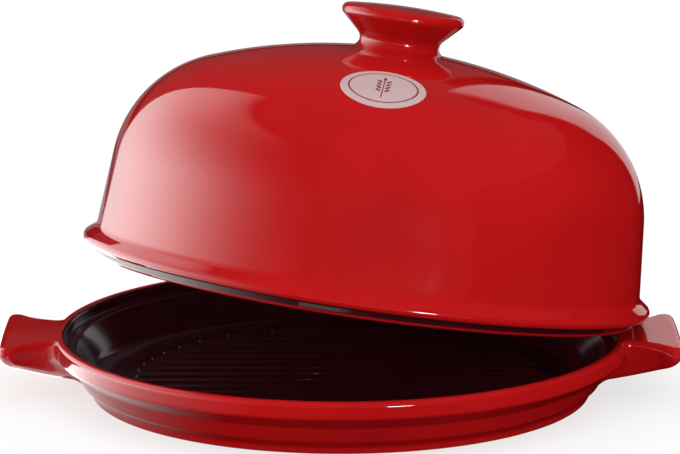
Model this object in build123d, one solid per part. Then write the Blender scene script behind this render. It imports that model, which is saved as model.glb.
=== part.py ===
from build123d import *
import math
import os

# A round stoneware bread cloche: a shallow dish with two handles, and a high domed lid with a knob.
# Millimetres, +Z up. The origin is the centre of the dish's flat underside. The handles lie along X.
# The lid rests as it is shown in use: tilted open, its lip lying on the +X handle.

# Dish: rim, stepped wall and foot. The rim's radius sets the size of dish and lid alike.
rim_radius = 142.5
rim_height = 29.8
rim_width = 5.6               # across the rim's top
rim_band_height = 8.2         # the upright band under the rim's edge
rim_band_round = 2.2
rim_edge_round = 2.5
foot_setback = 18.2           # from the rim's outside in to the foot
foot_height = 3.4
foot_draft = 0.5              # how much wider the foot is at its top
foot_round = 1.0
lower_flare_out = 4.6         # the wall leans out above the foot
lower_flare_rise = 3.9
band_out = 4.4                # the steeper band half way up the wall
band_rise = 7.8
band_round = 2.0

# Dish: inside
floor_thickness = 6.0
floor_setback = 3.3           # from the foot's outside in to where the floor would meet the wall
floor_cove = 12.0
ledge_width = 5.4             # the step that the lid's lip hangs over when it is closed
ledge_drop = 6.0
ledge_round = 1.6
ridge_height = 1.4
ridge_width = 4.2
ridge_pitch = 12.0
ridge_margin = 18.5           # between the ridges' round field and the wall
ridge_draft_angle = 25.0

# Handles, pressed in one piece with the dish, measured outwards from the rim
handle_neck_length = 7.1
handle_flare_length = 18.4
handle_end_bow = 1.0          # how far the gently curved end stands out beyond its corners
handle_neck_half_width = 21.0
handle_half_width = 47.2      # where flare and end would meet, before the corner is rounded
handle_junction_round = 3.2   # in plan, where the neck leaves the rim
handle_neck_round = 10.0
handle_corner_round = 4.2
handle_root_depth = 17.5      # how far the handle's body runs into the dish's wall
handle_root_thickness = 21.4
handle_middle_thickness = 17.1
handle_end_thickness = 6.6
handle_lower_round = 3.4

# Lid: a shell of even thickness with a bead round its mouth and a lip that locates it in the rim
wall_thickness = 6.5
bead_overhang = 5.1           # from where the outer wall would meet the plane of the bead's underside
wall_draft_angle = 5.1
shoulder_radius = 61.6
crown_radius = 270.3
dome_height = 115.4           # from the bead's underside to the top of the crown
bead_nose_round = 2.9
bead_slope_angle = 37.0
bead_cove = 4.5
lip_depth = 4.6
lip_edge_round = 1.9
lip_clearance = 1.2           # between the lip and the inside of the rim when the lid is on

# Knob, solid, joined to a small flat at the top of the crown
knob_rim_radius = 30.4
knob_rim_round = 2.4
knob_height = 22.0
knob_top_radius = 265.0       # the gentle crown of the knob's top
knob_waist_radius = 19.8
knob_waist_height = 3.15
knob_waist_round = 5.5
knob_seat_margin = 0.4

# Medallion, a thin round plaque that follows the dome's surface
medallion_diameter = 41.5
medallion_thickness = 0.6
medallion_film = 0.2          # the glaze between the plaque and the dome
medallion_setback = 7.4       # from the edge of the crown back to the plaque's centre
medallion_turn_angle = 5.2    # round from the dome's front

# The lid's place at rest, and the clearance where its lip lies on the handle
lid_shift_x = 12.6
lid_shift_y = 10.2
lid_side_tilt_angle = 8.1
lid_back_tilt_angle = 6.55
rest_clearance = 0.3

# Places that follow from these sizes. Heights in the lid are measured from its bead's underside.
foot_radius = rim_radius - foot_setback
floor_radius = foot_radius - floor_setback
rim_inside_radius = rim_radius - rim_width
lip_radius = rim_inside_radius - lip_clearance
mouth_radius = rim_radius - bead_overhang
handle_root_reach = rim_radius - handle_root_depth
handle_neck_reach = rim_radius + handle_neck_length
handle_corner_reach = handle_neck_reach + handle_flare_length
handle_reach = handle_corner_reach + handle_end_bow
crown_centre = (0, dome_height - crown_radius)
wall_offset = mouth_radius * math.cos(math.radians(wall_draft_angle))
wall_drop = crown_centre[1] * math.sin(math.radians(wall_draft_angle))
crown_join_angle = 90 + wall_draft_angle - math.degrees(
    math.asin((wall_offset - shoulder_radius - wall_drop) / (crown_radius - shoulder_radius))
)
knob_waist_centre = (knob_waist_radius + knob_waist_round, knob_waist_height)
knob_root_radius = knob_waist_centre[0] - math.sqrt(knob_waist_round**2 - knob_waist_height**2)
knob_seat_radius = knob_root_radius + knob_seat_margin
knob_seat_height = crown_centre[1] + math.sqrt(crown_radius**2 - knob_seat_radius**2)


def polar(centre, radius, angle):
    """The point of a section at a radius and an angle in degrees from a centre."""
    turn = math.radians(angle)
    return (centre[0] + radius * math.cos(turn), centre[1] + radius * math.sin(turn))


def arc(centre, radius, start, end):
    """Draw the arc of a section about a centre, from one angle in degrees to another."""
    middle = (start + end) / 2
    return ThreePointArc(polar(centre, radius, start), polar(centre, radius, middle), polar(centre, radius, end))


shoulder_centre = polar(crown_centre, crown_radius - shoulder_radius, crown_join_angle)


def dish_puck():
    """The dish's outside as a solid of revolution, its rim still square."""
    foot_top = (foot_radius + foot_draft, foot_height)
    band_foot = (foot_top[0] + lower_flare_out, foot_top[1] + lower_flare_rise)
    band_top = (band_foot[0] + band_out, band_foot[1] + band_rise)
    rim_foot = (rim_radius, rim_height - rim_band_height)
    corners = [(0, 0), (foot_radius, 0), foot_top, band_foot, band_top, rim_foot]
    corners += [(rim_radius, rim_height), (0, rim_height)]
    rounds = [0, foot_round, foot_round, band_round, band_round, rim_band_round, 0, 0]
    with BuildPart() as puck:
        with BuildSketch(Plane.XZ):
            with BuildLine():
                FilletPolyline(*corners, radius=rounds, close=True)
            make_face()
        revolve(axis=Axis.Z)
    return puck.part


def dish_cavity():
    """The hollow of the dish: floor, cove, sloping wall, ledge and the upright inside of the rim."""
    ledge_height = rim_height - ledge_drop
    corners = [(0, floor_thickness), (floor_radius, floor_thickness)]
    corners += [(rim_inside_radius - ledge_width, ledge_height), (rim_inside_radius, ledge_height)]
    corners += [(rim_inside_radius, rim_height), (0, rim_height)]
    rounds = [0, floor_cove, ledge_round, ledge_round, 0, 0]
    with BuildPart() as cavity:
        with BuildSketch(Plane.XZ):
            with BuildLine():
                FilletPolyline(*corners, radius=rounds, close=True)
            make_face()
        revolve(axis=Axis.Z)
    return cavity.part


def handle_plan():
    """The +X handle seen from above: a short neck that flares to a broad end with round corners."""
    corner = (handle_corner_reach, handle_half_width)
    neck = (handle_neck_reach, handle_neck_half_width)
    root = (handle_root_reach, handle_neck_half_width)
    with BuildSketch() as plan:
        with BuildLine():
            ThreePointArc((corner[0], -corner[1]), (handle_reach, 0), corner)
            Polyline(corner, neck, root, (root[0], -root[1]), (neck[0], -neck[1]), (corner[0], -corner[1]))
        make_face()
        fillet(plan.vertices().group_by(Axis.X)[1], radius=handle_neck_round)
        fillet(plan.vertices().group_by(Axis.X)[-1], radius=handle_corner_round)
    return plan.sketch


def handle():
    """The +X handle: its plan cut to a side view that thickens towards the dish along an arc."""
    middle_reach = (handle_root_reach + handle_reach) / 2
    root_foot = (handle_root_reach, rim_height - handle_root_thickness)
    middle_foot = (middle_reach, rim_height - handle_middle_thickness)
    end_foot = (handle_reach, rim_height - handle_end_thickness)
    with BuildPart() as grip:
        with BuildSketch():
            add(handle_plan())
        extrude(amount=rim_height)
        with BuildSketch(Plane.XZ):
            with BuildLine():
                Polyline(root_foot, (handle_root_reach, rim_height), (handle_reach, rim_height), end_foot)
                ThreePointArc(end_foot, middle_foot, root_foot)
            make_face()
        extrude(amount=handle_half_width, both=True, mode=Mode.INTERSECT)
        underside = grip.faces().sort_by(Axis.Z)[0]
        fillet(underside.edges().sort_by(Axis.X)[1:], radius=handle_lower_round)
    return grip.part


def neck_blends():
    """The two small fillets, as high as the rim's upright band, where the neck leaves the rim."""
    with BuildPart() as blends:
        with BuildSketch(Plane.XY.offset(rim_height - rim_band_height)) as corners:
            Circle(rim_radius)
            add(handle_plan())
            junction = corners.vertices().sort_by(lambda v: abs(math.hypot(v.X, v.Y) - rim_radius))[:2]
            fillet(junction, radius=handle_junction_round)
            add(handle_plan(), mode=Mode.SUBTRACT)
            Circle(rim_radius, mode=Mode.SUBTRACT)
        extrude(amount=rim_band_height)
    return blends.part


def floor_ridges():
    """Shallow parallel ridges, as long as a round field on the floor lets each be."""
    field_radius = floor_radius - ridge_margin
    rows = int(field_radius / ridge_pitch)
    with BuildPart() as ridges:
        with BuildSketch(Plane.XY.offset(floor_thickness)):
            for row in range(-rows, rows + 1):
                offset = row * ridge_pitch
                length = 2 * math.sqrt(field_radius**2 - offset**2)
                if length > 2 * ridge_width:
                    with Locations((0, offset)):
                        SlotOverall(length, ridge_width)
        extrude(amount=ridge_height, taper=ridge_draft_angle)
    return ridges.part


def dish():
    """Puck and handles pressed as one, blended where they meet, hollowed, rounded and ridged."""
    right_side = handle() + neck_blends()
    blank = dish_puck() + right_side + mirror(right_side, about=Plane.YZ)
    body = blank - dish_cavity()
    top = body.faces().sort_by(Axis.Z)[-1]
    body = fillet(top.edges(), radius=rim_edge_round)
    return body + floor_ridges()


def dome():
    """The lid's shell, turned from one section: crown, shoulder, wall, cove, bead and lip."""
    nose_centre = (rim_radius - bead_nose_round, bead_nose_round)
    slope_angle = 90 - bead_slope_angle
    nose_end = polar(nose_centre, bead_nose_round, slope_angle)
    draft = math.radians(wall_draft_angle)
    slope = math.radians(slope_angle)
    nose_offset = nose_end[0] * math.cos(draft) + nose_end[1] * math.sin(draft)
    cove_offset = wall_offset + bead_cove * (1 - math.cos(slope - draft))
    slope_length = (nose_offset - cove_offset) / math.sin(slope - draft)
    cove_foot = polar(nose_end, slope_length, slope_angle + 90)
    cove_centre = polar(cove_foot, bead_cove, slope_angle)
    wall_top = polar(shoulder_centre, shoulder_radius, wall_draft_angle)
    inside_top = polar(shoulder_centre, shoulder_radius - wall_thickness, wall_draft_angle)
    lip_inside = inside_top[0] + (inside_top[1] + lip_depth) * math.tan(draft)
    seat_angle = math.degrees(math.acos(knob_seat_radius / crown_radius))
    with BuildPart() as shell:
        with BuildSketch(Plane.XZ):
            with BuildLine():
                Line((0, knob_seat_height), (knob_seat_radius, knob_seat_height))
                arc(crown_centre, crown_radius, seat_angle, crown_join_angle)
                arc(shoulder_centre, shoulder_radius, crown_join_angle, wall_draft_angle)
                Line(wall_top, polar(cove_centre, bead_cove, wall_draft_angle + 180))
                arc(cove_centre, bead_cove, wall_draft_angle + 180, slope_angle + 180)
                Line(cove_foot, nose_end)
                arc(nose_centre, bead_nose_round, slope_angle, -90)
                FilletPolyline(
                    (nose_centre[0], 0),
                    (lip_radius, 0),
                    (lip_radius, -lip_depth),
                    (lip_inside, -lip_depth),
                    inside_top,
                    radius=[0, lip_edge_round, lip_edge_round],
                )
                arc(shoulder_centre, shoulder_radius - wall_thickness, wall_draft_angle, crown_join_angle)
                arc(crown_centre, crown_radius - wall_thickness, crown_join_angle, 90)
                Line((0, dome_height - wall_thickness), (0, knob_seat_height))
            make_face()
        revolve(axis=Axis.Z)
    return shell.part


def knob():
    """The knob, turned: a waist that flares in a straight cone to a rounded rim under a low crown."""
    rim_centre_radius = knob_rim_radius - knob_rim_round
    rim_rise = math.sqrt((knob_top_radius - knob_rim_round) ** 2 - rim_centre_radius**2)
    top_centre = (0, knob_height - knob_top_radius)
    rim_centre = (rim_centre_radius, top_centre[1] + rim_rise)
    across = rim_centre[0] - knob_waist_centre[0]
    up = rim_centre[1] - knob_waist_centre[1]
    lean = math.degrees(math.asin((knob_waist_round + knob_rim_round) / math.hypot(across, up)))
    flare_angle = math.degrees(math.atan2(up, across)) - lean
    root_angle = 180 + math.degrees(math.asin(knob_waist_height / knob_waist_round))
    rim_top_angle = math.degrees(math.atan2(rim_rise, rim_centre_radius))
    with BuildPart() as turned:
        with BuildSketch(Plane.XZ):
            with BuildLine():
                Line((0, 0), (knob_root_radius, 0))
                arc(knob_waist_centre, knob_waist_round, root_angle, flare_angle + 90)
                Line(
                    polar(knob_waist_centre, knob_waist_round, flare_angle + 90),
                    polar(rim_centre, knob_rim_round, flare_angle - 90),
                )
                arc(rim_centre, knob_rim_round, flare_angle - 90, rim_top_angle)
                arc(top_centre, knob_top_radius, rim_top_angle, 90)
                Line((0, knob_height), (0, 0))
            make_face()
        revolve(axis=Axis.Z)
    return Pos(0, 0, knob_seat_height) * turned.part


def medallion():
    """The plaque: a round piece cut out of a thin shell that lies on the dome's crown and shoulder."""
    back = medallion_film
    front = medallion_film + medallion_thickness
    with BuildPart() as plaque:
        with BuildSketch(Plane.XZ):
            with BuildLine():
                arc(crown_centre, crown_radius + front, 90, crown_join_angle)
                arc(shoulder_centre, shoulder_radius + front, crown_join_angle, 0)
                Line(
                    polar(shoulder_centre, shoulder_radius + front, 0),
                    polar(shoulder_centre, shoulder_radius + back, 0),
                )
                arc(shoulder_centre, shoulder_radius + back, 0, crown_join_angle)
                arc(crown_centre, crown_radius + back, crown_join_angle, 90)
                Line((0, dome_height + back), (0, dome_height + front))
            make_face()
        revolve(axis=Axis.Z)
        lean = math.radians(90 - crown_join_angle) - medallion_setback / crown_radius
        turn = math.radians(-90 - medallion_turn_angle)
        outward = Vector(math.sin(lean) * math.cos(turn), math.sin(lean) * math.sin(turn), math.cos(lean))
        place = Vector(0, 0, crown_centre[1]) + outward * crown_radius
        with BuildSketch(Plane(origin=place, z_dir=outward)):
            Circle(medallion_diameter / 2)
        extrude(amount=medallion_diameter / 2, both=True, mode=Mode.INTERSECT)
    return plaque.part


def lid_place():
    """Where the lid rests: its lip's lower edge a clearance above the handle's flat top.

    The centre line of the lip's rounded lower edge is a tilted circle. Its height is taken where the
    circle crosses the edge of the handle's flat top, on the side towards the tilt's low point.
    """
    side = math.radians(lid_side_tilt_angle)
    back = math.radians(lid_back_tilt_angle)
    lean = Vector(math.sin(side) * math.cos(back), math.sin(back), math.cos(side) * math.cos(back))
    tilt = math.acos(lean.Z)
    low_bearing = math.atan2(lean.Y, lean.X)
    circle_radius = lip_radius - lip_edge_round
    circle_depth = lip_depth - lip_edge_round
    flat_edge = handle_neck_half_width - rim_edge_round
    across_share = (flat_edge - lid_shift_y + circle_depth * lean.Y) / circle_radius
    along = lean.Z * math.sin(low_bearing)
    beside = math.cos(low_bearing)
    bearing = math.atan2(beside, along) - math.acos(across_share / math.hypot(along, beside))
    drop = circle_radius * math.cos(bearing) * math.sin(tilt) + circle_depth * lean.Z + lip_edge_round
    height = rim_height + rest_clearance + drop
    return Pos(lid_shift_x, lid_shift_y, height) * Rot(0, lid_side_tilt_angle, 0) * Rot(-lid_back_tilt_angle, 0, 0)


def main():
    """Build each piece in its place and write it to its own file."""
    os.makedirs("parts", exist_ok=True)
    place = lid_place()
    pieces = {
        "dish": dish(),
        "dome": place * dome(),
        "knob": place * knob(),
        "medallion": place * medallion(),
    }
    for name, piece in pieces.items():
        export_step(piece, f"parts/{name}.step")
        print(name, round(piece.volume), piece.bounding_box())


main()
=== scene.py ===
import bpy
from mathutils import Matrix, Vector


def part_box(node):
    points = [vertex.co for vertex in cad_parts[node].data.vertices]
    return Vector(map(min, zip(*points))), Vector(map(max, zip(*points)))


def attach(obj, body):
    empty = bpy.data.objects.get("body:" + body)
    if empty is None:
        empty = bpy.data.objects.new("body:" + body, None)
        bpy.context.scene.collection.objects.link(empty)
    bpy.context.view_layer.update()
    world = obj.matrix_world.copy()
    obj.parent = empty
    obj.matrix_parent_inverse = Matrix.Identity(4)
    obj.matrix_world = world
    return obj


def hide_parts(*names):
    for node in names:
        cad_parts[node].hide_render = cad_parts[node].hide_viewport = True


bl_info = {
    "name": "Bread cloche",
    "version": (1, 0, 0),
    "blender": (4, 5, 0),
    "location": "3D View > Sidebar > Cloche",
    "description": "Glazed pieces of a stoneware bread cloche, built round its packed solids",
    "category": "Add Mesh",
}

import math

import bpy
import numpy as np
from bpy.props import FloatProperty, FloatVectorProperty, PointerProperty
from mathutils import Matrix, Vector

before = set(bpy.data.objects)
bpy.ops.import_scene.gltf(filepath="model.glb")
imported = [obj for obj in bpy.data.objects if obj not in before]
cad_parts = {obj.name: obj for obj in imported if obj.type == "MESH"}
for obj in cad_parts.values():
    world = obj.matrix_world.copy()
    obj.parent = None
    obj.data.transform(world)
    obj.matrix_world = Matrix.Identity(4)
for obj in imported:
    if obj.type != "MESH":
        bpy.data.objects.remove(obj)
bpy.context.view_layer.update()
dish_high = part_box("dish")[1]

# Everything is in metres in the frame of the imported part: +Z up, handles along X, front towards -Y.
MM = 0.001
TURN = 2 * math.pi
BLACK, WHITE = (0, 0, 0, 1), (1, 1, 1, 1)

# Points nearer to each other than this are one, and slopes are measured over this far each way.
SAME_PLACE = 1e-7
PROBE = 0.01 * MM


def length(name, millimetres, description):
    """A size property in metres whose default is given in millimetres."""
    return FloatProperty(
        name=name,
        description=description,
        default=millimetres * MM,
        precision=5,
        unit="LENGTH",
        subtype="DISTANCE",
    )


def angle(name, degrees, description):
    """An angle property whose default is given in degrees."""
    return FloatProperty(
        name=name, description=description, default=math.radians(degrees), unit="ROTATION", subtype="ANGLE"
    )


def number(name, value, description):
    """A plain number property."""
    return FloatProperty(name=name, description=description, default=value, precision=4)


def colour(name, red, green, blue, description):
    """A linear colour property."""
    return FloatVectorProperty(
        name=name, description=description, default=(red, green, blue, 1), size=4, subtype="COLOR"
    )


class DishSizes(bpy.types.PropertyGroup):
    """Sizes of the dish, from its rim inwards and downwards."""

    rim_radius: length("Rim radius", dish_high.y / MM, "Outside of the rim")
    rim_height: length("Rim height", dish_high.z / MM, "Top of the rim above the table")
    rim_width: length("Rim width", 5.6, "Across the rim's top")
    rim_band: length("Rim band", 8.2, "Height of the upright band under the rim's edge")
    rim_edge: length("Rim edge", 2.5, "Round of the rim's edges")
    flare_out: length("Flare width", 8.7, "From the lower band out to the rim band")
    lower_band: length("Lower band top", 15.1, "Height at which the rim flares out")
    lower_flare: length("Lower flare", 7.3, "Height at which the lower band starts")
    lower_step: length("Lower step", 4.4, "From the lower flare out to the lower band")
    foot_height: length("Foot height", 3.4, "Height of the foot")
    foot_setback: length("Foot setback", 18.2, "The foot's underside, in from the rim")
    foot_lean: length("Foot lean", 0.5, "The foot's top, out from its underside")
    foot_round: length("Foot round", 1.0, "Rounds of the foot")
    step_round: length("Step round", 2.0, "Rounds of the lower band")
    band_round: length("Band round", 2.2, "Round under the rim band")
    ledge_round: length("Ledge round", 1.6, "Rounds of the ledge")
    cavity_round: length("Cavity round", 12.0, "Round between wall and floor inside")
    floor_thickness: length("Floor thickness", 6.0, "Clay under the floor")
    ledge_drop: length("Ledge drop", 6.0, "Ledge below the rim's top")
    ledge_width: length("Ledge width", 5.4, "Across the ledge that carries the lid")
    cavity_radius: length("Cavity radius", 121.0, "Inside of the dish at its floor")
    ridge_pitch: length("Ridge pitch", 12.0, "From ridge to ridge on the floor")
    ridge_field: length("Ridge field", 102.5, "Radius of the ridged part of the floor")
    ridge_height: length("Ridge height", 1.4, "Ridges above the floor")
    ridge_width: length("Ridge width", 6.6, "Across the foot of a ridge")


class HandleSizes(bpy.types.PropertyGroup):
    """Sizes of the two handles, from the dish's middle outwards and from its rim's top downwards."""

    reach: length("Reach", dish_high.x / MM, "Outer end of a handle")
    end_bow: length("End bow radius", 1100, "Bow of the end in plan")
    neck_place: length("Neck place", 149.6, "Where the neck's side meets the flare")
    neck_width: length("Neck half width", 21.8, "Half the neck's width")
    neck_round: length("Neck round", 11.0, "Round between neck and flare in plan")
    flare: angle("Flare", 54.9, "Turn of the flare's side from the handle's line")
    corner_round: length("Corner round", 9.0, "Blend of flare and end in plan")
    root_depth: length("Root depth", 21.4, "Underside below the rim's top, inside the wall")
    middle_depth: length("Middle depth", 17.1, "Underside below the rim's top, halfway")
    end_depth: length("End depth", 6.6, "Underside below the rim's top, at the end")
    root_place: length("Root place", 125.0, "Where the root depth is measured")
    lower_round: length("Lower round", 3.6, "Round of the lower edges")
    root_round: length("Root round", 3.6, "Glaze fillet between handle and wall")
    edge_round: length("Edge round", 3.5, "Round of the upper edges, away from the rim")


class LidSizes(bpy.types.PropertyGroup):
    """Sizes of the lid, heights above its bead's underside."""

    mouth_radius: length("Mouth radius", 137.4, "Where the outer wall would meet the bead's underside")
    wall_draft: angle("Wall draft", 5.1, "Lean of the wall inwards")
    shoulder_radius: length("Shoulder radius", 61.6, "Round between wall and crown")
    crown_radius: length("Crown radius", 270.3, "Low dome on top")
    dome_height: length("Dome height", 115.4, "Top of the crown")
    wall_thickness: length("Wall thickness", 6.5, "Thickness of the shell")
    lip_radius: length("Lip radius", 135.7, "Outside of the lip that drops into the rim")
    lip_depth: length("Lip depth", 4.6, "How far the lip hangs down")
    lip_corner: length("Lip corner", 0.9, "Round between bead and lip")
    lip_edge: length("Lip edge", 1.9, "Rounds of the lip's edges")
    bead_round: length("Bead round", 2.9, "Round of the bead in section")
    bead_slope: angle("Bead slope", 53.0, "Slope of the bead's upper side")
    cove_round: length("Cove round", 4.5, "Hollow between bead and wall")
    side_tilt: angle("Side tilt", 8.1, "Lean towards the right handle at rest")
    back_tilt: angle("Back tilt", 6.55, "Lean towards the back at rest")
    shift_x: length("Shift right", 12.6, "The lid's middle, right of the dish's")
    shift_y: length("Shift back", 10.2, "The lid's middle, behind the dish's")


class KnobSizes(bpy.types.PropertyGroup):
    """Sizes of the knob."""

    rim_radius: length("Rim radius", 30.6, "Outside of the knob's rim")
    rim_round: length("Rim round", 3.1, "Round of the rim's edge")
    height: length("Height", 21.9, "Top above the seat")
    top_radius: length("Top radius", 265.0, "Low crown of the knob's top")
    waist_radius: length("Waist radius", 19.85, "Narrowest place")
    waist_round: length("Waist round", 5.5, "Round of the waist in section")
    waist_height: length("Waist height", 3.3, "Middle of the waist's round above the seat")
    root_fillet: length("Root fillet", 4.2, "Glaze fillet between waist and crown")


class MedallionSizes(bpy.types.PropertyGroup):
    """Sizes of the medallion."""

    diameter: length("Diameter", 41.5, "Across the medallion")
    front: length("Front", 0.5, "How far its face stands off the dome")
    setback: length("Setback", 7.4, "From the crown's edge back to its middle")
    turn: angle("Turn", 5.2, "Round from the dome's front")


class GlazeColours(bpy.types.PropertyGroup):
    """Colours of glaze, clay and print, linear."""

    red: colour("Red", 0.45, 0.0065, 0.0075, "Glaze in a full coat")
    red_deep: colour("Deep red", 0.33, 0.004, 0.005, "Glaze where it pools")
    # Painted shade: a near-black colour for the recess above the lip, standing in for the shade under the bead's
    # overhang.
    recess_shade: colour("Recess shade", 0.035, 0.0035, 0.0055, "Glaze in the recess above the lip")
    aubergine: colour("Aubergine", 0.030, 0.0042, 0.0080, "Glaze inside the dish")
    clay: colour("Clay", 0.33, 0.19, 0.11, "Bare fired clay of the underside")
    print_ground: colour("Print ground", 0.52, 0.38, 0.38, "Ground of the medallion")
    print_ink: colour("Print ink", 0.22, 0.012, 0.018, "Ink of the medallion's print")


class StageSettings(bpy.types.PropertyGroup):
    """Floor, cloths and camera."""

    floor_size: length("Floor size", 80000, "Side of the floor")
    floor_colour: colour("Floor", 0.30, 0.30, 0.30, "Pale floor")
    floor_seen: number("Floor as seen", 0.68, "Added to the floor for camera and mirror rays")
    world_glow: number("World", 0.06, "Strength of the world")
    tent_glow: number("Tent", 1.1, "Strength of the tent that lights evenly")
    left_glow: number("Left softbox", 5.7, "Strength of the left softbox")
    right_glow: number("Right softbox", 0.66, "Strength of the right softbox")
    net_cover: number("Net cover", 0.8, "Share of the light that the back net holds off")
    camera_place: FloatVectorProperty(
        name="Camera place", description="Where it stands", default=(0, -2.1476, 0.5598), subtype="TRANSLATION"
    )
    camera_tilt: angle("Camera tilt", 77.47, "Turn of the camera up from straight down")
    camera_lens: number("Camera lens", 234.9, "Focal length in mm")
    camera_sensor: number("Camera sensor", 36.0, "Width of the sensor in mm")
    camera_shift: number("Camera shift", -0.0009, "Sideways shift in shares of the sensor")


class ClocheSettings(bpy.types.PropertyGroup):
    """Everything that can be set on the bread cloche."""

    dish: PointerProperty(type=DishSizes)
    handle: PointerProperty(type=HandleSizes)
    lid: PointerProperty(type=LidSizes)
    knob: PointerProperty(type=KnobSizes)
    medallion: PointerProperty(type=MedallionSizes)
    colours: PointerProperty(type=GlazeColours)
    stage: PointerProperty(type=StageSettings)


def polar(centre, radius, degrees):
    """The point of a section at a radius and an angle from a centre."""
    turn = math.radians(degrees)
    return np.array([centre[0] + radius * math.cos(turn), centre[1] + radius * math.sin(turn)])


def heading(across, up):
    """Angle of a direction in degrees."""
    return math.degrees(math.atan2(up, across))


def arc(centre, radius, start, end, count):
    """Section points on a circle: centre plus radius times cosine and sine of evenly spaced angles."""
    turn = np.radians(np.linspace(start, end, count))
    return np.stack([centre[0] + radius * np.cos(turn), centre[1] + radius * np.sin(turn)], axis=1)


def rounded(corners, rounds, count=9):
    """A path whose corners become arcs that touch both of their sides.

    A corner that turns by t gives an arc of its radius r. It starts r tan(t / 2) before the corner, and its
    centre lies r / cos(t / 2) from the corner on the line that halves the angle.
    """
    corners = [np.array(corner, float) for corner in corners]
    path = [corners[0][None]]
    for before, corner, after, radius in zip(corners, corners[1:], corners[2:], rounds):
        back = (before - corner) / np.linalg.norm(before - corner)
        ahead = (after - corner) / np.linalg.norm(after - corner)
        half = math.acos(np.clip(back @ ahead, -1, 1)) / 2
        middle = (back + ahead) / np.linalg.norm(back + ahead)
        centre = corner + middle * radius / math.sin(half)
        start = corner + back * radius / math.tan(half)
        sweep = math.pi - 2 * half
        side = math.copysign(1, back[0] * ahead[1] - back[1] * ahead[0])
        turn = -side * sweep * np.linspace(0, 1, count)
        arm = start - centre
        across = arm[0] * np.cos(turn) - arm[1] * np.sin(turn)
        path.append(centre + np.stack([across, arm[0] * np.sin(turn) + arm[1] * np.cos(turn)], axis=1))
    return np.concatenate(path + [corners[-1][None]])


def refined(path, gap):
    """The same path with points added along its runs, so that none is longer than the gap."""
    runs = []
    for start, end in zip(path, path[1:]):
        steps = max(1, math.ceil(np.linalg.norm(end - start) / gap))
        share = np.arange(steps)[:, None] / steps
        runs.append(start + share * (end - start))
    path = np.concatenate(runs + [path[-1:]])
    apart = np.linalg.norm(np.diff(path, axis=0), axis=1) > SAME_PLACE
    return path[np.concatenate([[True], apart])]


def revolved(path, stations):
    """Grid of a turned surface: (r cos a, r sin a, z) for each point (r, z) of the path and each angle a."""
    radius, height = path[:, 0, None], path[:, 1, None]
    flat = np.zeros_like(stations)
    return np.stack([radius * np.cos(stations), radius * np.sin(stations), height + flat], axis=2)


def lid_place(lid):
    """Turn and place of the tilted lid: leaned back about X, then sideways about Y, then moved.

    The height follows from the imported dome, whose lowest point is on its lip's rounded edge.
    """
    turn = Matrix.Rotation(lid.side_tilt, 3, "Y") @ Matrix.Rotation(-lid.back_tilt, 3, "X")
    lean = math.acos(turn[2][2])
    edge = lid.lip_edge
    reach = (lid.lip_radius - edge) * math.sin(lean) + (lid.lip_depth - edge) * math.cos(lean) + edge
    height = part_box("dome")[0].z + reach
    return np.array(turn), np.array([lid.shift_x, lid.shift_y, height])


def placed(grid, place):
    """The grid turned and moved by a place."""
    turn, offset = place
    return grid @ turn.T + offset


def closed_shell(grid):
    """Points and faces of a grid whose columns run round it and whose first and last rows are its poles.

    Each pole row becomes one point. Faces are turned outwards by the sign of the enclosed volume.
    """
    rows, columns = grid.shape[:2]
    points = np.concatenate([grid[0, :1], grid[1:-1].reshape(-1, 3), grid[-1, :1]])
    last = len(points) - 1
    ring = np.arange(columns)
    after = (ring + 1) % columns
    start = 1 + columns * np.arange(rows - 3)[:, None]
    quads = np.stack([start + ring, start + after, start + columns + after, start + columns + ring], axis=2)
    quads = quads.reshape(-1, 4)
    first_fan = np.stack([np.zeros_like(ring), 1 + after, 1 + ring], axis=1)
    final = 1 + columns * (rows - 3)
    last_fan = np.stack([np.full_like(ring, last), final + ring, final + after], axis=1)
    fans = np.concatenate([first_fan, last_fan])
    corners = [points[quads[:, k]] for k in range(3)]
    volume = np.einsum("ij,ij->", corners[0], np.cross(corners[1], corners[2])) / 3
    if volume < 0:
        quads, fans = quads[:, ::-1], fans[:, ::-1]
    return points, quads.tolist() + fans.tolist()


def new_object(name, points, faces, material):
    """A mesh object of points and faces, linked to the scene."""
    mesh = bpy.data.meshes.new(name)
    mesh.from_pydata(points, [], faces)
    mesh.validate()
    mesh.materials.append(material)
    made = bpy.data.objects.new(name, mesh)
    bpy.context.scene.collection.objects.link(made)
    return made


def make_piece(name, grids, material, marks=None):
    """One smooth object of one or more closed grids, with an optional vector of marks for each point."""
    points, faces, count = [], [], 0
    for grid in grids:
        shell, sides = closed_shell(grid)
        points.extend(shell.tolist())
        faces.extend([[corner + count for corner in side] for side in sides])
        count += len(shell)
    piece = new_object(name, points, faces, material)
    piece.data.shade_smooth()
    if marks is not None:
        piece.data.attributes.new("marks", "FLOAT_VECTOR", "POINT").data.foreach_set("vector", marks.ravel())
    return piece


def spaced(path, shares):
    """Points of a path at shares of its length."""
    run = np.concatenate([[0], np.cumsum(np.linalg.norm(np.diff(path, axis=0), axis=1))])
    return np.stack([np.interp(shares * run[-1], run, path[:, k]) for k in range(path.shape[1])], axis=1)


def smooth(value):
    """Smooth step 3t^2 - 2t^3 of a value held between 0 and 1."""
    held = np.clip(value, 0, 1)
    return held * held * (3 - 2 * held)


def round_union(first, second, radius):
    """Distance to two solids joined with a fillet: where both are nearer than r, r - hypot(r - a, r - b)."""
    return np.maximum(radius, np.minimum(first, second)) - np.hypot(
        np.maximum(radius - first, 0), np.maximum(radius - second, 0)
    )


def round_common(first, second, radius):
    """Distance to what two solids share, with a rounded edge: the fillet of the two outsides, turned round."""
    return -round_union(-first, -second, radius)


def slope_of(field, points):
    """Gradient of a field, by central differences."""
    axes = np.eye(points.shape[-1]) * PROBE
    return np.stack([field(points + axis) - field(points - axis) for axis in axes], axis=-1) / (2 * PROBE)


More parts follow.
